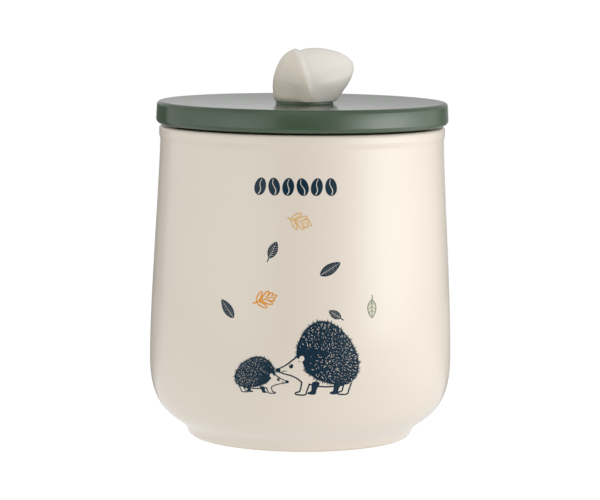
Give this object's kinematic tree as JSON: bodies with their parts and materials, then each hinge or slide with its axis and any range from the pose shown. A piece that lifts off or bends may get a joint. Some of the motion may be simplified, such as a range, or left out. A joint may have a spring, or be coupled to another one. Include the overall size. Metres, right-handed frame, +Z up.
{
  "type": "ceramic storage jar",
  "caption": "Lidded stoneware storage jar for coffee: rounded body on a foot ring, flat lid with a silicone seal, and an acorn-shaped knob.",
  "frame": {"origin": "centre of the foot ring, on the surface that the jar stands on", "axes": "+Z up along the jar's axis; the printed front faces -Y; the acorn's tip points to +X"},
  "size_m": [0.1268, 0.1268, 0.1628],
  "materials": {
    "jar_glaze": "gloss",
    "lid_glaze": "gloss",
    "knob_glaze": "gloss",
    "seal_silicone": "satin",
    "brass": "satin",
    "screw_steel": "satin",
    "washer_steel": "satin",
    "soft_washer": "matte"
  },
  "bodies": {
    "jar": {"jar_body": "jar_glaze"},
    "seal": {"seal_ring": "seal_silicone"},
    "lid": {"lid_plate": "lid_glaze", "acorn_knob": "knob_glaze", "knob_insert": "brass", "knob_screw": "screw_steel", "screw_washer": "washer_steel", "cushion_washer": "soft_washer"}
  },
  "joints": [
    {"name": "lid_lift", "type": "slide", "parent": "jar", "child": "seal", "axis": [0, 0, 1], "range_m": [0, 0.09]},
    {"name": "lid_turn", "type": "hinge", "parent": "seal", "child": "lid", "pos_m": [0, 0, 0.125], "axis": [0, 0, 1], "continuous": true}
  ]
}
